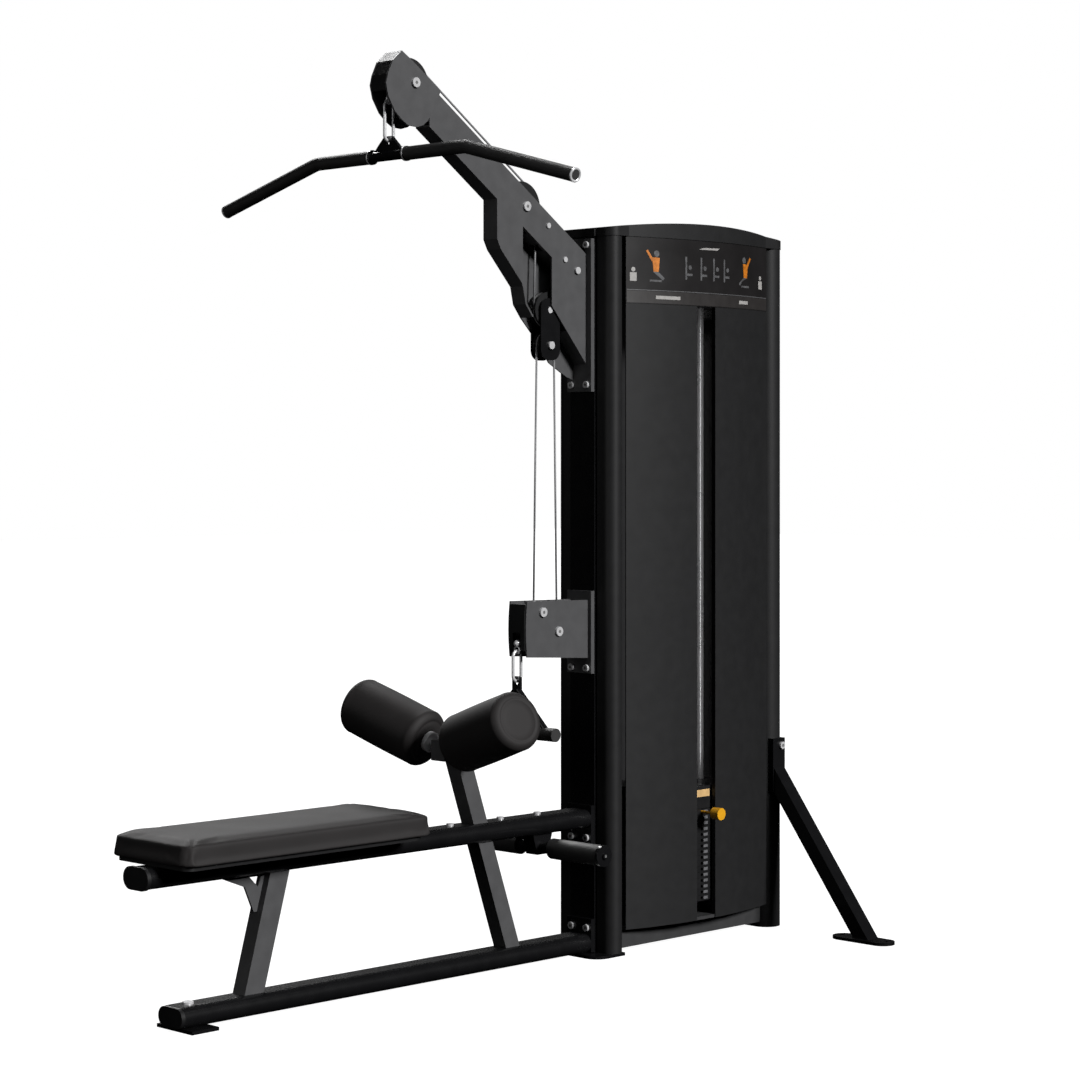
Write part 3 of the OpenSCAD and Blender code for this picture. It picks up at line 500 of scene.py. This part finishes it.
def band(name, z0, z1, mat):
    """Printed strip along the whole placard, cut often enough to follow its bow."""
    cuts, inset, lift = 28, 0.002, 0.0003
    bm = bmesh.new()
    x0, x1 = head_lo.x + inset, head_hi.x - inset
    rows = []
    for k in range(cuts + 1):
        x = x0 + (x1 - x0) * k / cuts
        rows.append([bm.verts.new((x, bow_y(x) - lift, z)) for z in (z0, z1)]
                    + [bm.verts.new((x, bow_y(x) + print_root, z)) for z in (z1, z0)])
    for a, b in zip(rows, rows[1:]):
        for i in range(4):
            j = (i + 1) % 4
            bm.faces.new((a[i], a[j], b[j], b[i]))
    bm.faces.new(rows[0])
    bm.faces.new(list(reversed(rows[-1])))
    bmesh.ops.recalc_face_normals(bm, faces=bm.faces)
    o = new_object(name, bm, mat, smooth=False)
    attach(o, "frame")


def figure(side, cx, toward):
    """Exercise figure: head, bench, limbs, and the working muscles in orange."""
    decal("figure_head_" + side, disc(cx + toward * 0.004, 1.815, 0.0085), ink_grey)
    decal("figure_trunk_" + side,
          [(cx - 0.010, 1.805), (cx + 0.014, 1.805), (cx + 0.010, 1.768), (cx - 0.006, 1.768)],
          ink_orange, lift=0.0007)
    decal("figure_arm_" + side,
          [(cx - toward * 0.030, 1.822), (cx - toward * 0.024, 1.824),
           (cx - toward * 0.006, 1.800), (cx - toward * 0.012, 1.794)],
          ink_orange, lift=0.0008)
    decal("figure_leg_" + side,
          [(cx - 0.008, 1.768), (cx + 0.010, 1.768), (cx + toward * 0.030, 1.752),
           (cx + toward * 0.024, 1.746)], ink_grey, lift=0.0005)
    decal("figure_bench_" + side, rect(cx - 0.018, 1.742, cx + 0.020, 1.747), ink_grey)


def weight_icon(side, cx):
    """Small weight: a plate with a ring on top."""
    decal("icon_plate_" + side, rect(cx - 0.010, 1.742, cx + 0.010, 1.764), ink_light)
    decal("icon_ring_" + side, disc(cx, 1.772, 0.006), ink_light)


def diagram(i, x):
    """One step of the how-to row: post, seat and dot."""
    decal(f"diagram_post_{i}", rect(x - 0.011, 1.752, x - 0.005, 1.812), ink_grey)
    decal(f"diagram_seat_{i}", rect(x - 0.008, 1.762, x + 0.014, 1.768), ink_grey, lift=0.0006)
    decal(f"diagram_dot_{i}", disc(x + 0.006, 1.784, 0.006), ink_grey, lift=0.0006)


def placard_print():
    over_band = 0.0016         # marks this high stand clear of the band behind them
    band("placard_band", 1.686, 1.717, band_grey)
    band("placard_rule", 1.7185, 1.7205, ink_grey)
    figure("left", 0.150, 1)
    weight_icon("left", 0.082)
    figure("right", 0.500, -1)
    weight_icon("right", 0.582)
    for i, x in enumerate((0.262, 0.318, 0.368, 0.412)):
        diagram(i, x)
    for i, (x0, x1) in enumerate(((0.150, 0.232), (0.470, 0.512))):
        decal(f"band_mark_{i}", rect(x0, 1.697, x1, 1.706), ink_light, lift=over_band)
    decal("crest_mark", [(0.300, 1.833), (0.318, 1.838), (0.382, 1.840), (0.372, 1.834)],
          ink_light, lift=over_band)


placard_print()


# ------------------------------------------------------------------ stack labels

stack_lo, stack_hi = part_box("head_plate")
stack_x = (stack_lo.x + stack_hi.x) / 2


def add_box(bm, mid, size):
    """Box around mid in a bmesh."""
    for v in bmesh.ops.create_cube(bm, size=1)["verts"]:
        v.co = Vector((mid[0] + v.co.x * size[0], mid[1] + v.co.y * size[1],
                       mid[2] + v.co.z * size[2]))


def head_label():
    """Cream label on the front of the head plate."""
    x0, x1 = stack_x - 0.022, stack_x + 0.030
    y0, y1 = stack_lo.y - 0.0008, stack_lo.y + 0.0004
    z0, z1 = 0.387, 0.406
    bm = bmesh.new()
    add_box(bm, ((x0 + x1) / 2, (y0 + y1) / 2, (z0 + z1) / 2), (x1 - x0, y1 - y0, z1 - z0))
    bmesh.ops.bevel(bm, geom=bm.edges[:], offset=0.0003, segments=2, affect="EDGES",
                    profile=0.5)
    label = new_object("head_plate_label", bm, label_cream, smooth=False)
    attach(label, "stack")


def plate_labels():
    """Small light tab beside each pin hole. The topmost plate rides with the stack."""
    plates, first_z, pitch, plate_gap = 16, 0.112, 0.0152, 0.0005
    tab_size = (0.016, 0.0012, 0.0074)
    tab_x, tab_y = stack_x + 0.0145, stack_lo.y - 0.0002
    heights = [first_z + pitch * (k + 0.5) - plate_gap / 2 for k in range(plates)]
    for body, zs in (("frame", heights[:-1]), ("stack", heights[-1:])):
        bm = bmesh.new()
        for z in zs:
            add_box(bm, (tab_x, tab_y, z), tab_size)
        o = new_object("plate_tabs_" + body, bm, label_grey, smooth=False)
        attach(o, body)


head_label()
plate_labels()


# ------------------------------------------------------------------ stage, lights, camera

def studio_floor():
    """White floor for the camera only: it neither lights the part nor mirrors in it."""
    m = bpy.data.materials.new("floor_white")
    m.use_nodes = True
    shader = m.node_tree.nodes["Principled BSDF"]
    shader.inputs["Base Color"].default_value = (0.2, 0.2, 0.2, 1)
    shader.inputs["Roughness"].default_value = 0.9
    shader.inputs["Emission Color"].default_value = (1, 1, 1, 1)
    shader.inputs["Emission Strength"].default_value = 0.97
    bm = bmesh.new()
    bmesh.ops.create_grid(bm, x_segments=1, y_segments=1, size=30)
    floor = new_object("floor", bm, m, smooth=False)
    floor.location.z = -0.0005
    floor.visible_glossy = False
    floor.visible_diffuse = False


def studio_world():
    """Plain white surround, also for the camera only."""
    world = bpy.data.worlds.new("studio")
    scene.world = world
    world.use_nodes = True
    background = world.node_tree.nodes["Background"]
    background.inputs["Color"].default_value = (1, 1, 1, 1)
    background.inputs["Strength"].default_value = 1.0
    world.cycles_visibility.diffuse = False
    world.cycles_visibility.glossy = False


def area(name, loc, target, size, power):
    """Rectangular lamp at loc that shines at target and isn't seen itself."""
    lamp = bpy.data.lights.new(name, "AREA")
    lamp.shape = "RECTANGLE"
    lamp.size, lamp.size_y = size
    lamp.energy = power
    o = bpy.data.objects.new(name, lamp)
    scene.collection.objects.link(o)
    o.location = loc
    o.rotation_euler = (Vector(target) - Vector(loc)).to_track_quat("-Z", "Y").to_euler()
    o.visible_camera = False


def sun(name, toward, strength, spread):
    """Sun that stands in the direction toward, spread degrees wide."""
    lamp = bpy.data.lights.new(name, "SUN")
    lamp.energy = strength
    lamp.angle = math.radians(spread)
    o = bpy.data.objects.new(name, lamp)
    scene.collection.objects.link(o)
    o.rotation_euler = Vector(toward).to_track_quat("Z", "Y").to_euler()


def camera():
    """Level camera that looks along the machine's diagonal, shifted down on its sensor."""
    lens = bpy.data.cameras.new("camera")
    lens.lens = 88.0
    lens.sensor_width = 36.0
    lens.shift_y = -0.074537
    lens.clip_end = 100
    o = bpy.data.objects.new("camera", lens)
    scene.collection.objects.link(o)
    o.location = (-4.9141, -4.7591, 1.280)
    o.rotation_euler = (math.radians(90), 0, math.radians(-45))
    scene.camera = o


studio_floor()
studio_world()
sun("key", (0.08, -0.88, 0.42), 4.4, 12)
sun("back", (0.35, 0.72, 0.60), 2.0, 20)
area("top_strip", (-0.4, -2.6, 4.4), (-0.4, 0, 0.8), (4.5, 0.8), 22)
area("stack_glow", (0.395, -0.088, 1.05), (0.459, 0, 1.05), (0.02, 1.2), 0.25)
area("fill_left", (-5.2, 0.6, 2.0), (-0.3, 0, 1.0), (3.0, 3.0), 30)
camera()
scene.view_settings.view_transform = "Standard"
scene.view_settings.look = "None"
